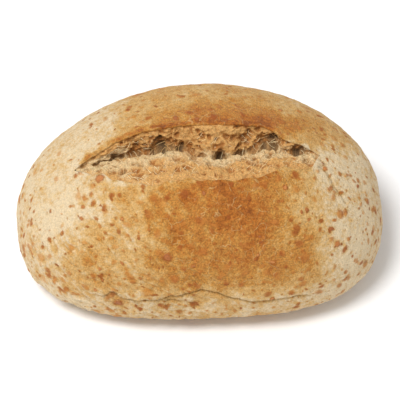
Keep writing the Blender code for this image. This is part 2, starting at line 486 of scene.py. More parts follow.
def sheet(name, points, marks, open_rows=None):
    """A smooth-shaded grid mesh through the points, carrying the named marks."""
    rows, columns = points.shape[:2]
    bm = bmesh.new()
    bmesh.ops.create_grid(bm, x_segments=columns - 1, y_segments=rows - 1, size=1.0)
    mesh = bpy.data.meshes.new(name)
    bm.to_mesh(mesh)
    bm.free()
    mesh.vertices.foreach_set("co", np.ascontiguousarray(points, np.float32).ravel())
    for mark, values in marks.items():
        layer = mesh.attributes.new(mark, "FLOAT", "POINT")
        layer.data.foreach_set("value", np.ascontiguousarray(values, np.float32).ravel())
    if open_rows is not None:
        close_round(mesh, columns, open_rows)
    mesh.update()
    return placed(name, mesh, True)


def close_round(mesh, columns, open_rows):
    """Joins the first and last column wherever the burst is shut, and draws each end to a point."""
    bm = bmesh.new()
    bm.from_mesh(mesh)
    bm.verts.ensure_lookup_table()
    grid = [bm.verts[row * columns : (row + 1) * columns] for row in range(len(open_rows))]
    first, last = LIP_POINTS, columns - 1 - LIP_POINTS
    shut = [row for row, is_open in zip(grid, open_rows) if not is_open]
    bmesh.ops.weld_verts(bm, targetmap={row[last]: row[first] for row in shut})
    spare = [vertex for row in shut for vertex in row[:first] + row[last + 1 :]]
    bmesh.ops.delete(bm, geom=spare, context="VERTS")
    for row in (grid[0], grid[-1]):
        ring = row[first:last]
        middle = sum((vertex.co for vertex in ring), Vector()) / len(ring)
        bmesh.ops.pointmerge(bm, verts=ring, merge_co=middle)
    bm.to_mesh(mesh)
    bm.free()


print("a sheet of", skin.shape[0] * skin.shape[1], "points is ready to be made")

# %% [markdown]
# ## How it browned
# The oven browns what stands nearest to it and is thinnest, so the deepest colour runs along the ear
# and in a wide band in front of the burst, a little to the right of the middle. It fades to cream at
# the left end, stays a greyer cream at the right end, and pales again towards the tray, where the wall
# was shaded.


# %% Browning
BAND_X, BAND_HALF, BAND_SHAPE, BAND_SWAY = 6.5, 33.5, 2.7, 7.0  # in mm, apart from the shape
LEAST_LOW = 0.34  # how much of the browning is left near the tray
# How strongly each part of the crust browned
FRONT_BAKE, BROW_BAKE, BACK_BAKE, FOOT_BAKE, REST_BAKE = 0.86, 0.2, 1.0, 0.32, 0.07
# Patches that took more or less heat: (X, Y, Z) and reach in mm, and how much more
PATCHES = (
    ((-36, -28, 28), 7.5, 0.20),
    ((-31, 5, 44), 10.0, -0.20),
    ((37, -29, 25), 9.0, -0.20),
    ((-40, -20, 36), 7.0, -0.20),
    ((-49, -20, 30), 6.0, -0.16),
    ((-24, -22, 39), 9.0, -0.10),
    ((-13, -21, 43), 8.5, -0.20),
    ((31, -20, 42), 8.0, -0.18),
    ((0, -30, 36), 9.0, -0.12),
    ((46, -22, 36), 9.0, -0.14),
)


def browning(points):
    """0 is cream, 1 a full orange-brown, and more is darker."""
    x, y, z = in_mm(points)
    sway = BAND_SWAY * grain(points, 11.0, 47)
    middle = np.exp(-(np.abs((x - BAND_X + sway) / BAND_HALF) ** BAND_SHAPE))
    low = LEAST_LOW + (1.0 - LEAST_LOW) * smooth_step(z, 10.0, 36.0)
    front = smooth_step(-y, 8.0, 18.0)
    brow = bell(z, 43.0, 5.5) * front * bell(x, 10.0, 24.0)
    back = smooth_step(y, -6.0, 4.0) * bell(x, 9.0, 32.0) * (0.45 + 0.55 * bell(y, 4.0, 11.0))
    foot = bell(x, -36.0, 15.0) * bell(z, 21.0, 11.0) * front
    bake = FRONT_BAKE * middle * low * front + BROW_BAKE * brow + BACK_BAKE * back + FOOT_BAKE * foot
    bake = bake + REST_BAKE * (1.0 - front)
    for place, reach, more in PATCHES:
        bake = bake + more * bell(np.linalg.norm(points / MM - place, axis=-1), 0.0, reach)
    uneven = 0.16 * rough(points, 14.0, 41) + 0.10 * rough(points, 5.0, 42)
    return bake + uneven * (0.35 + bake)


print("browned in the middle of the front:", browning(np.array([[6.5, -30.0, 36.0]]) * MM).round(2))

# %% [markdown]
# The two torn edges browned in their own ways. The ear is scorched, unevenly, and most towards its left
# end. The front edge is pale at the left, where the crust tore, and a little darker elsewhere. What
# stands out from its surroundings is painted paler, as a painted highlight, and what is sunk is painted
# darker, as painted shade, so that lumps and wrinkles show.

# %% Browning at the edges
EAR_BAKE_ROOM, FRONT_BAKE_ROOM = 1.3 * MM, 2.2 * MM
EAR_SCORCH, LEFT_SCORCH, SCORCH_UNEVEN = 0.20, 0.34, 0.50
CUT_PALE, CUT_UNEVEN, WHOLE_BAKE = 0.20, 0.45, 0.22
# how strongly ridges are painted paler and grooves darker, as painted light and shade, and its limits in
# mm
RIDGE_LIGHT_GROOVE_SHADE, SUNK_MOST, STANDS_MOST = 0.45, -0.12, 0.3


def edge_marks(points):
    """1 along the ear's edge, and 1 along the front edge, each fading into the crust."""
    ear, front, depth = score_edges(np.repeat(row_station[:, None], points.shape[1], 1))
    open_here = (points[..., 2] > 30 * MM) * np.clip(depth / (2.0 * MM), 0.0, 1.0)
    y = points[..., 1]
    return bell(y, ear, EAR_BAKE_ROOM) * open_here, bell(y, front, FRONT_BAKE_ROOM) * open_here



crust_bake_and_shading = browning(plain)
# painted shade: the folds and the splits at the right end of the burst are painted darker
crust_crack_shade = np.maximum(folds(plain)[0], top_cracks(plain))
ear_mark, front_mark = edge_marks(plain)
cut_left = smooth_step(-plain[..., 0], -22 * MM, -10 * MM)
left_ear = smooth_step(-plain[..., 0], 6 * MM, 16 * MM)
# painted light and shade: how far the relief stands out of, or sinks into, its surroundings
ridge_light_groove_shade = np.clip((crust_height - smoothed(crust_height, 3, 3)) / MM, SUNK_MOST, STANDS_MOST)
crust_bake_and_shading = crust_bake_and_shading - cut_left * front_mark * (CUT_PALE + CUT_UNEVEN * rough(plain, 2.2, 45))
crust_bake_and_shading = crust_bake_and_shading + WHOLE_BAKE * (1.0 - cut_left) * front_mark
scorch = EAR_SCORCH + LEFT_SCORCH * left_ear + SCORCH_UNEVEN * rough(plain, 1.8, 46)
# ridges are painted paler and grooves darker here, as painted highlight and painted shade
crust_bake_and_shading = crust_bake_and_shading + ear_mark * scorch - RIDGE_LIGHT_GROOVE_SHADE * np.pad(ridge_light_groove_shade, lip_room, mode="edge")
print("browning runs from %.2f to %.2f" % (crust_bake_and_shading.min(), crust_bake_and_shading.max()))

# %% [markdown]
# ## The torn crumb
# Where the slit burst, the inside stretched until its bubbles tore open. Below the ear it hangs in a
# steep, toasted face with holes under it; from the valley it climbs again, paler and softer, to the
# front edge. This sheet starts tucked under the ear and ends tucked under the front edge. First its
# even path is laid out, then bubbles of several sizes are hollowed from it, with thin walls left
# standing between them, and last the few large caves that catch the eye.

# %% Path of the torn face
CRUMB_ROWS, FACE_POINTS, SLOPE_POINTS = 400, 66, 92  # along X, and across
FACE_SHARE = FACE_POINTS / (FACE_POINTS + SLOPE_POINTS)
UNDER_EAR, UNDER_FRONT = 0.25 * MM, 0.5 * MM  # how far the sheet reaches in under the two edges
EAR_START, FRONT_END = 0.32 * MM, 0.35 * MM  # how deep it starts and ends below the top
TONGUE_X, TONGUE_HALF = 6.0 * MM, 8.5 * MM  # a tongue of crumb hangs here, and pushes the valley forward
VALLEY_BACK, TONGUE_PUSH = 0.12, 0.25  # as shares of the way across
ROUNDING = np.array([1.0, 2.0, 3.0, 2.0, 1.0]) / 9.0


def crumb_path(x, share):
    """Y and Z of the torn crumb, from under the ear (0) through the valley to the front edge (1)."""
    station = x / (LENGTH / 2.0)
    ear, front, depth = score_edges(station)
    lifted = EAR_LIFT * depth / SCORE_DEPTH
    ear, front = ear + UNDER_EAR, front - UNDER_FRONT
    hang = bell(x, TONGUE_X, TONGUE_HALF)
    valley = VALLEY_BACK + TONGUE_PUSH * hang + 0.05 * grain(along(x, 6), 9.0, 51)
    deep = depth * (1.0 - 0.12 * hang + 0.16 * grain(along(x, 7), 8.0, 52))
    face = np.clip(share / FACE_SHARE, 0.0, 1.0)
    slope = np.clip((share - FACE_SHARE) / (1.0 - FACE_SHARE), 0.0, 1.0)
    over = valley * face + (1.0 - valley) * slope
    steep = face**0.75
    hanging = 0.45 * smooth_step(face, 0.0, 0.55) + 0.55 * smooth_step(face, 0.6, 1.0)
    drop = EAR_START + (deep - EAR_START) * (steep * (1.0 - hang) + hanging * hang)
    climb = FRONT_END + (deep - FRONT_END) * (1.0 - slope) ** 1.25
    down = np.where(share < FACE_SHARE, drop, climb)
    y = ear + (front - ear) * over
    return y, top_height(station, y) - down + lifted * (1.0 - smooth_step(face, 0.0, 1.0))


crumb_x = np.linspace(SCORE_X - SCORE_HALF + 0.6 * MM, SCORE_X + SCORE_HALF - 0.3 * MM, CRUMB_ROWS)
crumb_share = np.linspace(0.0, 1.0, FACE_POINTS + SLOPE_POINTS)
grid_x, grid_share = np.meshgrid(crumb_x, crumb_share, indexing="ij")
crumb_y, crumb_z = crumb_path(grid_x, grid_share)
crumb = fitted(np.stack([grid_x, crumb_y, crumb_z], -1), made_low, made_high)
uncut = np.stack([grid_x, crumb_y, top_height(grid_x / (LENGTH / 2.0), crumb_y)], -1)
crumb[..., 2] += relief(fitted(uncut, made_low, made_high))  # so that it meets the crust's own relief
for _ in range(2):  # rounds the corner at the valley
    padded = np.pad(crumb, ((0, 0), (2, 2), (0, 0)), mode="edge")
    crumb = sum(weight * padded[:, k : k + crumb.shape[1]] for k, weight in enumerate(ROUNDING))
crumb_normal = outward(crumb)
if (crumb_normal[..., 2] < 0).mean() > 0.5:
    crumb_normal = -crumb_normal
run = np.cumsum(np.linalg.norm(np.diff(crumb, axis=1, prepend=crumb[:, :1]), axis=-1), axis=1)
print("the torn face is up to %.1f mm across along its surface" % (run[:, -1].max() / MM))

# %% [markdown]
# The caves are given one by one: a long dark one under the left of the ear, a deep hole where the
# hanging tongue of crumb meets the valley, a wide one towards the right, a narrow crevice all along the
# valley, and a few the size of a lentil or less.

# %% Caves in the crumb
# (X in mm, share across, half-length along X, half-width, depth), all sizes in millimetres
CAVES = (
    (-11.5, 0.37, 6.6, 3.8, 3.3),
    (-8.0, 0.30, 2.4, 1.6, 1.2),
    (-19.0, 0.39, 4.4, 2.5, 2.0),
    (-4.5, 0.43, 4.0, 1.0, 1.6),
    (-25.5, 0.42, 3.0, 1.3, 1.5),
    (-31.0, 0.44, 2.6, 0.9, 1.1),
    (1.0, 0.43, 1.8, 1.2, 2.4),
    (5.6, 0.44, 2.4, 1.7, 3.0),
    (3.0, 0.46, 3.0, 0.8, 1.4),
    (21.5, 0.36, 5.2, 3.8, 2.7),
    (22.5, 0.28, 3.0, 2.2, 1.2),
    (25.5, 0.42, 2.2, 1.5, 1.5),
    (29.3, 0.40, 2.4, 2.0, 2.0),
    (33.0, 0.45, 1.7, 1.0, 1.2),
    (-23.4, 0.74, 1.2, 1.0, 1.3),
    (1.0, 0.16, 1.2, 1.1, 0.9),
    (9.2, 0.17, 2.1, 1.4, 0.8),
    (-1.5, 0.64, 2.3, 1.7, 0.9),
    (12.5, 0.56, 3.2, 1.7, 0.9),
    (-13.5, 0.68, 1.8, 1.3, 0.7),
    (16.5, 0.72, 1.6, 1.1, 0.7),
    (-19.0, 0.62, 1.7, 1.2, 0.7),
)
CAVE_DEEPNESS, CAVE_ROUGHNESS = 0.85, 0.30
CREVICE_DEPTH, CREVICE_HALF = 1.5, 0.75


def caves():
    """Depth of the hand-placed caves, in mm, with ragged outlines."""
    total = np.zeros(crumb.shape[:2])
    ragged = 0.5 * rough(crumb, 2.4, 61, 3)
    for at_x, share, long_half, wide_half, depth in CAVES:
        row = np.argmin(np.abs(crumb_x - at_x * MM))
        point = np.argmin(np.abs(crumb_share - share))
        away_x = (crumb[..., 0] - crumb[row, point, 0]) / (long_half * MM)
        away_run = (run - run[:, point : point + 1]) / (wide_half * MM)
        inside = 1.0 - (away_x**2 + away_run**2) * (1.0 + ragged) - ragged * 0.7
        total = np.maximum(total, CAVE_DEEPNESS * depth * np.clip(inside, 0.0, 1.0))
    return total


def crevice():
    """Depth of the crevice along the valley, in mm, which wanders and is shut in places."""
    valley = int(FACE_SHARE * (crumb.shape[1] - 1))
    beyond = (run - run[:, valley : valley + 1]) / MM + 0.9 * grain(along(grid_x, 8), 3.0, 65)
    is_open = np.clip(0.55 + grain(along(grid_x, 9), 6.0, 66), 0.0, 1.0)
    return CREVICE_DEPTH * bell(beyond, 0.0, CREVICE_HALF) * is_open


cave_depth = np.maximum(caves(), crevice())
print(len(CAVES), "caves, the deepest", round(float(cave_depth.max()), 1), "mm")

# %% Bubbles in the crumb
# For each size of bubble, how deep it is cut and how high its wall stands, in mm
BIG, MID, SMALL = (1.0, 0.22), (0.95, 0.28), (0.34, 0.12)
TEAR, CRUMBLY = 0.50, 0.16  # height in mm of the ragged tear and of its finest crumbs

shaken = crumb + 0.7 * MM * rough(crumb, 2.6, 67, 2)[..., None]
big_cells, big_walls = bubbles(shaken, 4.8, 62)
mid_cells, mid_walls = bubbles(shaken, 2.5, 72)
small_cells, small_walls = bubbles(crumb, 1.2, 82)
some_places = smooth_step(grain(crumb, 7.0, 63), -0.5, -0.1)
hollow = BIG[0] * big_cells * some_places + MID[0] * mid_cells + SMALL[0] * small_cells
ridge = BIG[1] * big_walls + MID[1] * mid_walls + SMALL[1] * small_walls
ridge = ridge + TEAR * rough(crumb, 5.0, 91, 3) + CRUMBLY * rough(crumb, 0.9, 92, 2)

tucked = smooth_step(grid_share, 0.0, 0.05) * smooth_step(1.0 - grid_share, 0.0, 0.09)
ends = smooth_step(grid_x, crumb_x[0], crumb_x[0] + 5 * MM)
ends = ends * smooth_step(-grid_x, -crumb_x[-1], -crumb_x[-1] + 4 * MM)
calm = 0.45 + 0.55 * smooth_step(1.0 - grid_share, 0.02, 0.25)  # softer towards the front edge
solid_crumb = 1.0 - 0.6 * np.clip(cave_depth / 1.2, 0.0, 1.0)  # fewer bubbles show inside a cave
cave_depth = cave_depth * (1.0 + CAVE_ROUGHNESS * rough(crumb, 1.6, 68, 3))
crumb_height = (ridge - hollow) * solid_crumb * calm * tucked * (0.4 + 0.6 * ends) - cave_depth * ends
torn = crumb + crumb_normal * (crumb_height * MM)[..., None]
print("crumb relief runs from %.1f to %.1f mm" % (crumb_height.min(), crumb_height.max()))

# %% [markdown]
# Two marks go with the crumb. The first tells how deep a place lies among its neighbours, and so how
# much painted shade it gets in hollows and caves. `toast` tells how much heat it took: most on the face
# under the ear, to the right of the middle, on the brow just under the ear's edge, and again along the
# front edge.

# %% Marks on the crumb
# weights of the crumb's painted shade: a little everywhere, more in bubbles, in low places and in caves
PIT_LEAST, PIT_HOLLOW, PIT_BELOW, PIT_CAVE = 0.02, 0.36, 0.42, 0.34
TOAST_LEAST, TOAST_RIGHT, TOAST_BROW, TOAST_FRONT = 0.30, 1.0, 0.65, 1.5

# painted shade: the lower a place lies among its neighbours, the darker it is painted
sunk = smoothed(crumb_height, 3, 6) - crumb_height
crumb_pit_shade = PIT_LEAST + PIT_HOLLOW * hollow * calm + PIT_BELOW * sunk + PIT_CAVE * cave_depth
face = smooth_step(FACE_SHARE * 1.02 - grid_share, 0.0, 0.16)
brow = smooth_step(0.17 - grid_share, 0.0, 0.08)
front_slope = smooth_step(grid_share, 0.55, 0.93) * (0.35 + 0.65 * bell(grid_x, 8.0 * MM, 24.0 * MM))
crumb_toast = face * (TOAST_LEAST + TOAST_RIGHT * bell(grid_x, 9.0 * MM, 17.0 * MM))
crumb_toast = crumb_toast + TOAST_BROW * brow + TOAST_FRONT * front_slope
crumb_toast = crumb_toast + 0.32 + 0.55 * rough(crumb, 3.4, 95) - 0.30 * ridge
crumb_marks = {"pit_shade": np.clip(crumb_pit_shade, 0.0, 1.5), "toast": crumb_toast}
crumb_piece = sheet("torn_crumb", torn, crumb_marks)
print("torn crumb:", len(crumb_piece.data.polygons), "faces")

# %% [markdown]
# ## Threads of crumb
# As bubbles tear, the walls between them pull out into threads that dry pale and catch the light. Each
# is a thin tube, thinnest halfway, along a bowed line between two places on the torn face a few
# millimetres apart.

# %% Threads
THREADS = 300
THREAD_POINTS, THREAD_SIDES = 7, 5
THREAD_MARGIN, THREAD_FROM, THREAD_TO = 14, 0.12, 0.93  # in rows, and as shares across the torn face
LONGEST_ALONG, ACROSS_FROM, ACROSS_TO = 13, 6, 16  # in points of the sheet
chance = np.random.default_rng(7)


def tube(bm, points, radii):
    """A closed tube through the points."""
    turn = (points[-1] - points[0]).normalized().to_track_quat("Z", "Y").to_matrix()
    angles = [math.tau * k / THREAD_SIDES for k in range(THREAD_SIDES)]
    rings = []
    for place, radius in zip(points, radii):
        spokes = [Vector((math.cos(angle) * radius, math.sin(angle) * radius, 0.0)) for angle in angles]
        rings.append([bm.verts.new(place + turn @ spoke) for spoke in spokes])
    skirt(bm, rings)
    bm.faces.new(rings[0][::-1])
    bm.faces.new(rings[-1])


def threads():
    bm = bmesh.new()
    rows, columns = torn.shape[:2]
    shares = np.linspace(-0.1, 1.1, THREAD_POINTS)  # a little beyond both ends, so that they are sunk in
    ends_far = [2.0 * share - 1.0 for share in shares]
    for _ in range(THREADS):
        i = int(chance.integers(THREAD_MARGIN, rows - THREAD_MARGIN))
        j = int(chance.integers(int(columns * THREAD_FROM), int(columns * THREAD_TO)))
        di = int(chance.integers(-LONGEST_ALONG, LONGEST_ALONG + 1))
        dj = int(chance.integers(ACROSS_FROM, ACROSS_TO + 1)) * (1 if chance.random() < 0.5 else -1)
        k = min(max(i + di, 0), rows - 1)
        m = min(max(j + dj, 4), columns - 4)
        start, end = Vector(torn[i, j]), Vector(torn[k, m])
        bow = Vector(crumb_normal[i, j]) * float(chance.uniform(0.1, 0.55)) * MM
        bow = bow + Vector(chance.normal(0.0, 0.25, 3)) * MM
        thick = float(chance.uniform(0.05, 0.12)) * MM
        points = [start.lerp(end, s) + bow * (1.0 - far**2) for s, far in zip(shares, ends_far)]
        tube(bm, points, [thick * (0.55 + 0.45 * abs(far)) for far in ends_far])
    return from_bmesh("crumb_threads", bm, True)


thread_piece = threads()
print(THREADS, "threads,", len(thread_piece.data.polygons), "faces")

# %% [markdown]
# ## Bran
# Wholemeal dough is full of bran, the flaky skin of the grain. Most flakes lie just under the crust and
# show as soft, rusty, angular spots; others sit on the surface as thin chips. The spots are stored on
# the crust as a mark that is 1 in the middle of a flake, and the material sharpens it into a ragged
# outline. The chips are real, thin, many-sided plates laid on the skin.

# %% Scatter the bran
SPOTS, CHIPS = 1750, 120
DRAWN_FOR_EACH = 3  # places are drawn for each spot, as most of them lie too close to another
FLAKE_ROOM = 2.3 * MM  # flakes seldom lie closer together than this
SPOT_LOG_SIZE, SPOT_SPREAD, SPOT_LEAST, SPOT_MOST = -0.42, 0.45, 0.30, 1.7  # half-length, in mm
WINDOW_ROWS, WINDOW_COLUMNS = 9, 14  # how far a spot can reach on the sheet
SKIRTING = 2  # rows and points of the sheet that are left free at its edges


def bran_places():
    """Grid places on the crust, most on the front and the right end, fewest at the pale top left."""
    inner = skin[SKIRTING:-SKIRTING, LIP_POINTS + SKIRTING : -LIP_POINTS - SKIRTING]
    down = np.linalg.norm(np.gradient(inner, axis=0), axis=-1)
    across = np.linalg.norm(np.gradient(inner, axis=1), axis=-1)
    x, y, z = in_mm(inner)
    wanted = 0.5 + 0.55 * smooth_step(-y, 0.0, 16.0) + 0.12 * smooth_step(x, 18.0, 40.0)
    wanted = wanted * (1.0 - 0.55 * bell(x, -42.0, 12.0) * bell(z, 38.0, 12.0))
    clumped = 0.65 + 0.6 * np.clip(0.5 + grain(inner, 9.0, 101), 0.0, 1.0)
    weight = (down * across * wanted * clumped * (z > 0.5)).ravel()
    drawn = DRAWN_FOR_EACH * SPOTS
    picked = chance.choice(weight.size, drawn, replace=False, p=weight / weight.sum())
    cells = np.floor(inner.reshape(-1, 3)[picked] / FLAKE_ROOM)
    _, first = np.unique(cells, axis=0, return_index=True)
    picked = picked[np.sort(first)][:SPOTS]
    rows, columns = np.unravel_index(picked, down.shape)
    return rows + SKIRTING, columns + LIP_POINTS + SKIRTING


spot_rows, spot_columns = bran_places()
spot_size = np.clip(chance.lognormal(SPOT_LOG_SIZE, SPOT_SPREAD, SPOTS), SPOT_LEAST, SPOT_MOST) * MM
spot_strength = chance.uniform(0.35, 1.0, SPOTS)
spot_turn = chance.uniform(0.0, math.tau, SPOTS)
spot_slim = chance.uniform(0.5, 1.0, SPOTS)
skin_normal = outward(skin)
print("half a bran flake is", spot_size.min() / MM, "to", spot_size.max() / MM, "mm long")


# %% Bran spots
def spot_axes(index):
    """Middle of one bran flake, and the directions of its length and its width."""
    row, column = spot_rows[index], spot_columns[index]
    normal = skin_normal[row, column]
    side = np.cross(normal, (0.0, 0.3, 1.0) if abs(normal[2]) < 0.9 else (0.0, 1.0, 0.0))
    side = side / np.linalg.norm(side)
    other = np.cross(normal, side)
    cosine, sine = math.cos(spot_turn[index]), math.sin(spot_turn[index])
    return skin[row, column], cosine * side + sine * other, cosine * other - sine * side


def bran_mark():
    """How far inside a flake each point of the crust is, and how strong that flake's colour is."""
    mark = np.zeros(skin.shape[:2])
    tone = np.zeros(skin.shape[:2])
    for index, (row, column) in enumerate(zip(spot_rows, spot_columns)):
        window = (
            slice(max(row - WINDOW_ROWS, 0), row + WINDOW_ROWS + 1),
            slice(max(column - WINDOW_COLUMNS, 0), column + WINDOW_COLUMNS + 1),
        )
        middle, long_way, short_way = spot_axes(index)
        away = skin[window] - middle
        size = spot_size[index]
        flat = np.hypot(away @ long_way / size, away @ short_way / (size * spot_slim[index]))
        here = np.clip(1.25 - 0.75 * flat, 0.0, 1.0)
        mark[window] = np.maximum(mark[window], here)
        stronger = np.maximum(tone[window], spot_strength[index])
        tone[window] = np.where(here > 0.1, stronger, tone[window])
    return mark, tone


crust_bran, crust_tone = bran_mark()
# the bake mark holds the browning together with the painted light and shade of the relief
crust_marks = {"bake": crust_bake_and_shading, "crack": crust_crack_shade, "bran": crust_bran, "bran_tone": crust_tone}
# the crack mark carries the painted shade of the folds and splits into the material
crust_piece = sheet("crust", skin, crust_marks, score_edges(row_station)[2] > 0.0)
print("crust:", len(crust_piece.data.polygons), "faces;", SPOTS, "bran spots")


# %% [markdown]
# A chip is a flat polygon with uneven corners. Its rim is sunk a hair into the skin and its face stands
# a tenth of a millimetre at most above it, each point laid on the skin where it falls, so that it bends
# with it.


# %% Bran chips
CHIP_SHARE = 0.85  # of the size of the flake it stands for
CHIP_SINK, CHIP_RISE = 0.06 * MM, 0.08 * MM
CHIP_RINGS = ((1.0, -CHIP_SINK), (0.82, CHIP_RISE), (0.4, CHIP_RISE * 1.15))  # reach and height


def chips():
    bm = bmesh.new()
    tone_layer = bm.verts.layers.float.new("tone")
    ground = bmesh.new()
    ground.from_mesh(crust_piece.data)
    surface = BVHTree.FromBMesh(ground)
    ground.free()
    for index in np.argsort(-spot_strength)[:CHIPS]:
        middle, long_way, short_way = spot_axes(index)
        corners = int(chance.integers(6, 10))
        reach = chance.uniform(0.62, 1.05, corners)
        tone = float(chance.uniform(0.0, 1.0))
        size = spot_size[index] * CHIP_SHARE
        rings = []
        for share, height in CHIP_RINGS:
            ring = []
            for k in range(corners):
                angle = math.tau * k / corners
                flat = long_way * math.cos(angle) + short_way * math.sin(angle) * spot_slim[index]
                place = Vector(middle + flat * size * reach[k] * share)
                near, upright, _, _ = surface.find_nearest(place)
                vertex = bm.verts.new(near + upright * height)
                vertex[tone_layer] = tone
                ring.append(vertex)
            rings.append(ring)
        skirt(bm, rings)
        bm.faces.new(rings[-1])
    return from_bmesh("bran_chips", bm, False)


chip_piece = chips()
print(CHIPS, "chips,", len(chip_piece.data.polygons), "faces")

# %% [markdown]
# ## Colour and finish
# Colours are written as they look, from 0 to 255, and turned into the shader's linear scale. Two
# effects are used by every material of the roll, so each is a node group: `mottle` varies a colour in
# light and dark, and `fine_grain` gives a bump height. A third group, `ragged_patch`, turns a soft mark
# into a patch with an uneven outline, and keeps those steps together.


# %% Node helpers
def seen(red, green, blue):
    """A colour as it looks, from 0 to 255, as the linear values a shader takes."""
    linear = (((c / 255.0 + 0.055) / 1.055) ** 2.4 if c > 10 else c / 3295.0 for c in (red, green, blue))
    return (*linear, 1.0)


def fill(tree, socket, value):
    """A value is set on the socket itself, and another node's socket is linked to it."""
    if isinstance(value, bpy.types.NodeSocket):
        tree.links.new(value, socket)
    else:
        socket.default_value = value


def add(tree, kind, inputs=None, **values):
    """A node with these settings and inputs."""
    node = tree.nodes.new(kind)
    for name, value in values.items():
        setattr(node, name, value)
    for name, value in (inputs or {}).items():
        fill(tree, node.inputs[name], value)
    return node


def noise_at(tree, place, scale, detail, roughness):
    wanted = {"Vector": place, "Scale": scale, "Detail": detail, "Roughness": roughness}
    return add(tree, "ShaderNodeTexNoise", wanted).outputs["Fac"]


def noise(tree, place, size, detail=3.0, roughness=0.55):
    """Noise with lumps of this size in millimetres."""
    return noise_at(tree, place, 1.0 / (size * MM), detail, roughness)


def arithmetic(tree, operation, first, second):
    return add(tree, "ShaderNodeMath", {0: first, 1: second}, operation=operation).outputs[0]


def plus(tree, first, second):
    return arithmetic(tree, "ADD", first, second)


def minus(tree, first, second):
    return arithmetic(tree, "SUBTRACT", first, second)


def times(tree, first, second):
    return arithmetic(tree, "MULTIPLY", first, second)


def scaled(tree, vector, factor):
    return add(tree, "ShaderNodeVectorMath", {0: vector, "Scale": factor}, operation="SCALE").outputs[0]


def stretch(tree, value, low, high, to_low=0.0, to_high=1.0):
    """Smoothly maps low..high to to_low..to_high."""
    wanted = {"Value": value, "From Min": low, "From Max": high, "To Min": to_low, "To Max": to_high}
    return add(tree, "ShaderNodeMapRange", wanted, interpolation_type="SMOOTHSTEP").outputs["Result"]


def blend(tree, share, first, second):
    wanted = {0: share, 6: first, 7: second}  # the mix node's sockets for a factor and two colours
    return add(tree, "ShaderNodeMix", wanted, data_type="RGBA").outputs[2]


def group(name, wanted, given):
    """A node group with these inputs (name, kind, default) and one output (name, kind)."""
    tree = bpy.data.node_groups.new(name, "ShaderNodeTree")
    for label, kind, value in wanted:
        socket = tree.interface.new_socket(label, in_out="INPUT", socket_type=kind)
        if value is not None:
            socket.default_value = value
    tree.interface.new_socket(given[0], in_out="OUTPUT", socket_type=given[1])
    return tree, tree.nodes.new("NodeGroupInput").outputs, tree.nodes.new("NodeGroupOutput").inputs


def use(tree, made, **inputs):
    """The output of a group placed here; _ stands for a space in an input's name."""
    wanted = {name.replace("_", " "): value for name, value in inputs.items()}
    return add(tree, "ShaderNodeGroup", wanted, node_tree=made).outputs[0]


def mark(tree, name):
    stored = {"attribute_type": "GEOMETRY", "attribute_name": name}
    return add(tree, "ShaderNodeAttribute", **stored).outputs["Fac"]


print("a mid grey is", round(seen(128, 128, 128)[0], 3), "in linear light")

# %% Shared effects
COLOUR, NUMBER, VECTOR = "NodeSocketColor", "NodeSocketFloat", "NodeSocketVector"


def mottle_group():
    wanted = (
        ("Place", VECTOR, None),
        ("Colour", COLOUR, (0.8, 0.8, 0.8, 1.0)),
        ("Size", NUMBER, 500.0),
        ("Strength", NUMBER, 0.2),
    )
    tree, given, out = group("mottle", wanted, ("Colour", COLOUR))
    spots = noise_at(tree, given["Place"], given["Size"], 4.0, 0.6)
    swing = stretch(tree, spots, 0.3, 0.7, -1.0, 1.0)
    factor = plus(tree, times(tree, swing, given["Strength"]), 1.0)
    fill(tree, out["Colour"], scaled(tree, given["Colour"], factor))
    return tree


def fine_grain_group():
    wanted = (
        ("Place", VECTOR, None),
        ("Coarse", NUMBER, 600.0),
        ("Fine", NUMBER, 2500.0),
        ("Fine Share", NUMBER, 0.4),
    )
    tree, given, out = group("fine_grain", wanted, ("Height", NUMBER))
    coarse, fine = (noise_at(tree, given["Place"], given[size], 3.0, 0.6) for size in ("Coarse", "Fine"))
    fill(tree, out["Height"], plus(tree, coarse, times(tree, fine, given["Fine Share"])))
    return tree


def ragged_patch_group():
    wanted = (
        ("Place", VECTOR, None),
        ("Mark", NUMBER, 0.0),
        ("Size", NUMBER, 1500.0),
        ("Raggedness", NUMBER, 0.4),
        ("Edge", NUMBER, 0.5),
        ("Softness", NUMBER, 0.1),
    )
    tree, given, out = group("ragged_patch", wanted, ("Mask", NUMBER))
    shake = minus(tree, noise_at(tree, given["Place"], given["Size"], 2.0, 0.5), 0.5)
    value = plus(tree, given["Mark"], times(tree, shake, given["Raggedness"]))
    low = minus(tree, given["Edge"], given["Softness"])
    high = plus(tree, given["Edge"], given["Softness"])
    fill(tree, out["Mask"], stretch(tree, value, low, high))
    return tree


mottle, fine_grain, ragged_patch = mottle_group(), fine_grain_group(), ragged_patch_group()
print("node groups:", [made.name for made in (mottle, fine_grain, ragged_patch)])


# %% Steps of a material
def new_material(name):
    made = bpy.data.materials.new(name)
    made.use_nodes = True
    tree = made.node_tree
    place = add(tree, "ShaderNodeTexCoord").outputs["Object"]
    return made, tree, tree.nodes["Principled BSDF"], place


def set_even(shader, **values):
    """Values that are the same all over; _ stands for a space in an input's name."""
    for name, value in values.items():
        shader.inputs[name.replace("_", " ")].default_value = value


def set_bump(tree, shader, height, distance):
    bump = add(tree, "ShaderNodeBump", {"Height": height, "Distance": distance, "Strength": 1.0})
    fill(tree, shader.inputs["Normal"], bump.outputs["Normal"])


def finish(tree, shader, place, colour, mottled, grained, distance):
    """Mottles the colour (scale, strength) and adds a grain (coarse, fine, share of fine) this high."""
    mottled = dict(zip(("Size", "Strength"), mottled))
    grained = dict(zip(("Coarse", "Fine", "Fine_Share"), grained))
    colour = use(tree, mottle, Place=place, Colour=colour, **mottled)
    fill(tree, shader.inputs["Base Color"], colour)
    set_bump(tree, shader, use(tree, fine_grain, Place=place, **grained), distance)


print("materials made so far:", len(bpy.data.materials))
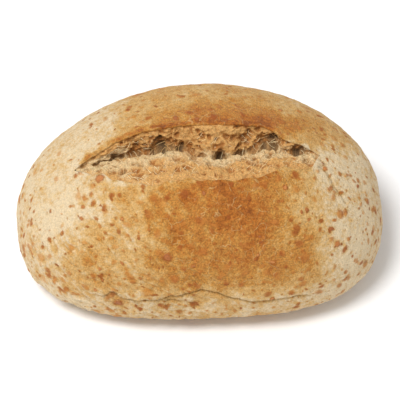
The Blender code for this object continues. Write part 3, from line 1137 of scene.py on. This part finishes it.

# %% [markdown]
# ## The crust's material
# Crust goes from cream through gold to orange-brown as it bakes, always a little blotchy, because the
# sugars brown in specks. Over that lie pale, hair-thin lines where the drying skin pulled apart in a
# net, the rusty bran, and painted shade as a dark line in the folds and splits. It is matt, with a
# slight eggshell gleam where brownest.

# %% Crust material
CREAM, STRAW = seen(229, 206, 168), seen(213, 171, 108)
GOLD, AMBER = seen(195, 138, 64), seen(174, 102, 34)
SCORCH = seen(142, 78, 26)
BAKE_STOPS = ((0.0, CREAM), (0.26, STRAW), (0.52, GOLD), (0.82, AMBER), (1.0, SCORCH))
BAKE_TOP = 1.3  # the browning that reaches the last stop
BLOTCHES, SPECKS, STAIN = 0.70, 0.95, 0.25  # how far each changes the browning
BRAN_PALE, BRAN_DARK = seen(210, 138, 62), seen(160, 84, 30)
# colour and strength of the painted shade in the folds and splits
FOLD_SHADE, FOLD_SHADE_SHARE = seen(126, 96, 58), 0.45
NET_PALE, NET_SHARE = seen(236, 202, 140), 0.42
NET_SCALE, NET_WARP_SCALE, NET_WARP = 210.0, 260.0, 0.0035  # cells to a metre, and a shift in metres
CRUST_BUMP, NET_RAISED, BRAN_RAISED = 0.75 * MM, 0.15, 0.25
CRUST_MOTTLE, CRUST_GRAIN = 2100.0, {"Coarse": 700.0, "Fine": 2400.0, "Fine_Share": 0.7}
BRAN_EDGE = {"Size": 1500.0, "Raggedness": 0.8, "Edge": 0.60, "Softness": 0.26}


def baked(tree, place):
    """Stored browning with painted relief light and shade; blotchy, speckled, darker round the bran."""
    stain = times(tree, mark(tree, "bran"), mark(tree, "bran_tone"))
    blotch = minus(tree, noise(tree, place, 5.0, 4.0), 0.5)
    specks = minus(tree, noise(tree, place, 1.3, 4.0, 0.62), 0.5)
    bake = mark(tree, "bake")
    for change, share in ((blotch, BLOTCHES), (specks, SPECKS), (stain, STAIN)):
        bake = plus(tree, bake, times(tree, change, share))
    return bake


def bake_colour(tree, bake):
    ramp = add(tree, "ShaderNodeValToRGB", {"Fac": times(tree, bake, 1.0 / BAKE_TOP)})
    while len(ramp.color_ramp.elements) < len(BAKE_STOPS):
        ramp.color_ramp.elements.new(0.5)
    for stop, (at, colour) in zip(ramp.color_ramp.elements, BAKE_STOPS):
        stop.position = at
        stop.color = colour
    return ramp.outputs["Color"]


def net_lines(tree, place):
    """Hair-thin lines of a bent, broken net."""
    warp = add(tree, "ShaderNodeTexNoise", {"Vector": place, "Scale": NET_WARP_SCALE, "Detail": 2.0})
    bend = scaled(tree, warp.outputs["Color"], NET_WARP)
    bent = add(tree, "ShaderNodeVectorMath", {0: place, 1: bend}, operation="ADD").outputs[0]
    wanted = {"Vector": bent, "Scale": NET_SCALE}
    net = add(tree, "ShaderNodeTexVoronoi", wanted, feature="DISTANCE_TO_EDGE").outputs["Distance"]
    broken = stretch(tree, noise(tree, place, 3.2, 3.0), 0.44, 0.60)
    return times(tree, stretch(tree, net, 0.0, 0.034, 1.0, 0.0), broken)


def crust_material():
    made, tree, shader, place = new_material("crust")
    bake = baked(tree, place)
    lines = net_lines(tree, place)
    speckle = stretch(tree, bake, 0.15, 0.80, 0.13, 0.30)
    colour = bake_colour(tree, bake)
    colour = use(tree, mottle, Place=place, Colour=colour, Size=CRUST_MOTTLE, Strength=speckle)
    colour = blend(tree, times(tree, lines, NET_SHARE), colour, NET_PALE)

    spot = use(tree, ragged_patch, Place=place, Mark=mark(tree, "bran"), **BRAN_EDGE)
    tone = times(tree, mark(tree, "bran_tone"), noise(tree, place, 2.2))
    rust = blend(tree, stretch(tree, tone, 0.15, 0.55), BRAN_PALE, BRAN_DARK)
    strong = times(tree, spot, stretch(tree, mark(tree, "bran_tone"), 0.2, 1.0, 0.38, 0.9))
    colour = blend(tree, strong, colour, rust)
    # painted shade: a dark line is painted along the folds and splits
    crease_shade = stretch(tree, mark(tree, "crack"), 0.30, 1.0, 0.0, FOLD_SHADE_SHARE)
    fill(tree, shader.inputs["Base Color"], blend(tree, crease_shade, colour, FOLD_SHADE))

    height = use(tree, fine_grain, Place=place, **CRUST_GRAIN)
    height = plus(tree, height, times(tree, lines, NET_RAISED))
    height = plus(tree, height, times(tree, spot, BRAN_RAISED))
    set_bump(tree, shader, height, CRUST_BUMP)
    fill(tree, shader.inputs["Roughness"], stretch(tree, bake, 0.2, 1.0, 0.72, 0.50))
    set_even(shader, Specular_IOR_Level=0.22)
    return made


print("the crust's colours stop at", [at for at, _ in BAKE_STOPS], "of the browning")

# %% [markdown]
# ## The crumb's material
# Torn crumb is pale and slightly translucent. Its ridges dry to cream, its pits and caves are painted
# grey-brown, as painted shade, because little light finds its way out, and the face under the ear is
# toasted to orange-gold, with painted shade in its pits. The threads are the palest part, some of them
# touched with gold, and the chips of bran are a rusty brown, each of its own tone.

# %% Crumb, thread and bran materials
# the palest crumb colour is its own; the next three get darker, as painted shade in pits and caves
CRUMB_PALE, CRUMB_HALF_SHADE = seen(222, 192, 144), seen(180, 138, 86)
CRUMB_SHADE, CRUMB_DEEP_SHADE = seen(152, 118, 76), seen(112, 86, 54)
# the darker toast colour is painted shade for toasted pits, with some random change
TOAST_LIGHT, TOAST_SHADED = seen(208, 156, 88), seen(172, 110, 46)
THREAD_PALE, THREAD_GOLD = seen(240, 220, 172), seen(222, 174, 104)
CHIP_PALE, CHIP_DARK = seen(194, 126, 62), seen(154, 86, 34)


def crumb_material():
    made, tree, shader, place = new_material("crumb")
    flecks = minus(tree, noise(tree, place, 0.7, 4.0), 0.5)
    # painted shade: pits and caves are painted darker, with random flecks
    pit_shade = plus(tree, mark(tree, "pit_shade"), times(tree, flecks, 0.5))
    colour = blend(tree, stretch(tree, pit_shade, 0.05, 0.55), CRUMB_PALE, CRUMB_HALF_SHADE)
    colour = blend(tree, stretch(tree, pit_shade, 0.45, 0.95), colour, CRUMB_SHADE)
    colour = blend(tree, stretch(tree, pit_shade, 0.85, 1.35), colour, CRUMB_DEEP_SHADE)
    toast = plus(tree, mark(tree, "toast"), times(tree, flecks, 0.7))
    toast = times(tree, stretch(tree, toast, 0.1, 0.9), stretch(tree, pit_shade, 0.5, 1.1, 0.92, 0.15))
    # painted shade in the toasted parts too: their colour darkens with the pit shade, and at random
    depth = plus(tree, pit_shade, minus(tree, noise(tree, place, 1.8), 0.5))
    toasted = blend(tree, stretch(tree, depth, 0.0, 0.45), TOAST_LIGHT, TOAST_SHADED)
    colour = blend(tree, toast, colour, toasted)
    finish(tree, shader, place, colour, (2400.0, 0.26), (1300.0, 4200.0, 0.5), 0.5 * MM)
    set_even(shader, Roughness=0.62, Specular_IOR_Level=0.4, Subsurface_Weight=0.06)
    set_even(shader, Subsurface_Radius=(1.0, 0.6, 0.3), Subsurface_Scale=1.0 * MM)
    return made


def thread_material():
    made, tree, shader, place = new_material("thread")
    golden = stretch(tree, noise(tree, place, 9.0, 2.0), 0.42, 0.62)
    colour = blend(tree, golden, THREAD_PALE, THREAD_GOLD)
    finish(tree, shader, place, colour, (1800.0, 0.14), (2000.0, 5000.0, 0.5), 0.1 * MM)
    set_even(shader, Roughness=0.45)
    return made


def bran_material():
    made, tree, shader, place = new_material("bran")
    colour = blend(tree, mark(tree, "tone"), CHIP_PALE, CHIP_DARK)
    finish(tree, shader, place, colour, (2400.0, 0.22), (1800.0, 5000.0, 0.4), 0.15 * MM)
    set_even(shader, Roughness=0.6)
    return made


looks = {
    crust_piece: crust_material(),
    crumb_piece: crumb_material(),
    thread_piece: thread_material(),
    chip_piece: bran_material(),
}
for piece, look in looks.items():
    piece.data.materials.append(look)
    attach(piece, "root")
    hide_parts(NODE)
print("materials:", [look.name for look in looks.values()])

# %% [markdown]
# ## Floor, light and camera
# The roll stands on a plain white floor, lit by one broad soft lamp high on the left and an even white
# sky, so that colours come out about as they were written. The camera looks down at half a right angle
# and a little more, from just left of the front, through a long lens.


# %% Floor
FLOOR_RADIUS = 0.4
FLOOR_COLOUR = (0.98, 0.98, 0.98, 1.0)


def floor():
    bm = bmesh.new()
    bmesh.ops.create_circle(bm, cap_ends=True, segments=64, radius=FLOOR_RADIUS)
    made = from_bmesh("floor", bm, False)
    material, _, shader, _ = new_material("floor")
    set_even(shader, Base_Color=FLOOR_COLOUR, Roughness=1.0, Specular_IOR_Level=0.0)
    made.data.materials.append(material)
    return made


floor()
print("the floor is", 2 * FLOOR_RADIUS, "m across")

# %% Light
SKY_LIGHT = 0.56
KEY_FROM, KEY_SIZE, KEY_POWER = Vector((-0.38, -0.26, 1.05)), 0.45, 9.6


def aimed(name, data, start, way):
    """A lamp or a camera that stands at this place and faces this way."""
    made = bpy.data.objects.new(name, data)
    made.location = start
    made.rotation_euler = way.to_track_quat("-Z", "Y").to_euler()
    bpy.context.scene.collection.objects.link(made)
    return made


def sky():
    """Even light from all round, and plain white wherever the camera or a reflection sees it."""
    world = bpy.data.worlds.new("sky")
    world.use_nodes = True
    tree = world.node_tree
    back = tree.nodes["Background"]
    set_even(back, Color=(1.0, 1.0, 1.0, 1.0))
    rays = add(tree, "ShaderNodeLightPath").outputs
    shown = arithmetic(tree, "MAXIMUM", rays["Is Camera Ray"], rays["Is Glossy Ray"])
    shown = arithmetic(tree, "MAXIMUM", shown, rays["Is Transmission Ray"])
    fill(tree, back.inputs["Strength"], plus(tree, times(tree, shown, 1.0 - SKY_LIGHT), SKY_LIGHT))
    bpy.context.scene.world = world


def key_lamp():
    data = bpy.data.lights.new("key", "AREA")
    data.shape = "DISK"
    data.size = KEY_SIZE
    data.energy = KEY_POWER
    aimed("key", data, KEY_FROM, -KEY_FROM)


sky()
key_lamp()
bpy.context.scene.view_settings.view_transform = "Standard"
print("the lamp is", round(KEY_FROM.length, 2), "m away")

# %% Camera
LOOK_DOWN, LOOK_ROUND = math.radians(50.0), math.radians(-3.1)
CAMERA_AWAY, LENS = 0.6, 172.0
AIM = Vector((0.0002, -0.0028, 0.0204))


def camera():
    data = bpy.data.cameras.new("camera")
    data.lens = LENS
    level = math.cos(LOOK_DOWN)
    back = Vector((math.sin(LOOK_ROUND) * level, -math.cos(LOOK_ROUND) * level, math.sin(LOOK_DOWN)))
    bpy.context.scene.camera = aimed("camera", data, AIM + back * CAMERA_AWAY, -back)


camera()
print("the camera looks down at", round(math.degrees(LOOK_DOWN)), "degrees")
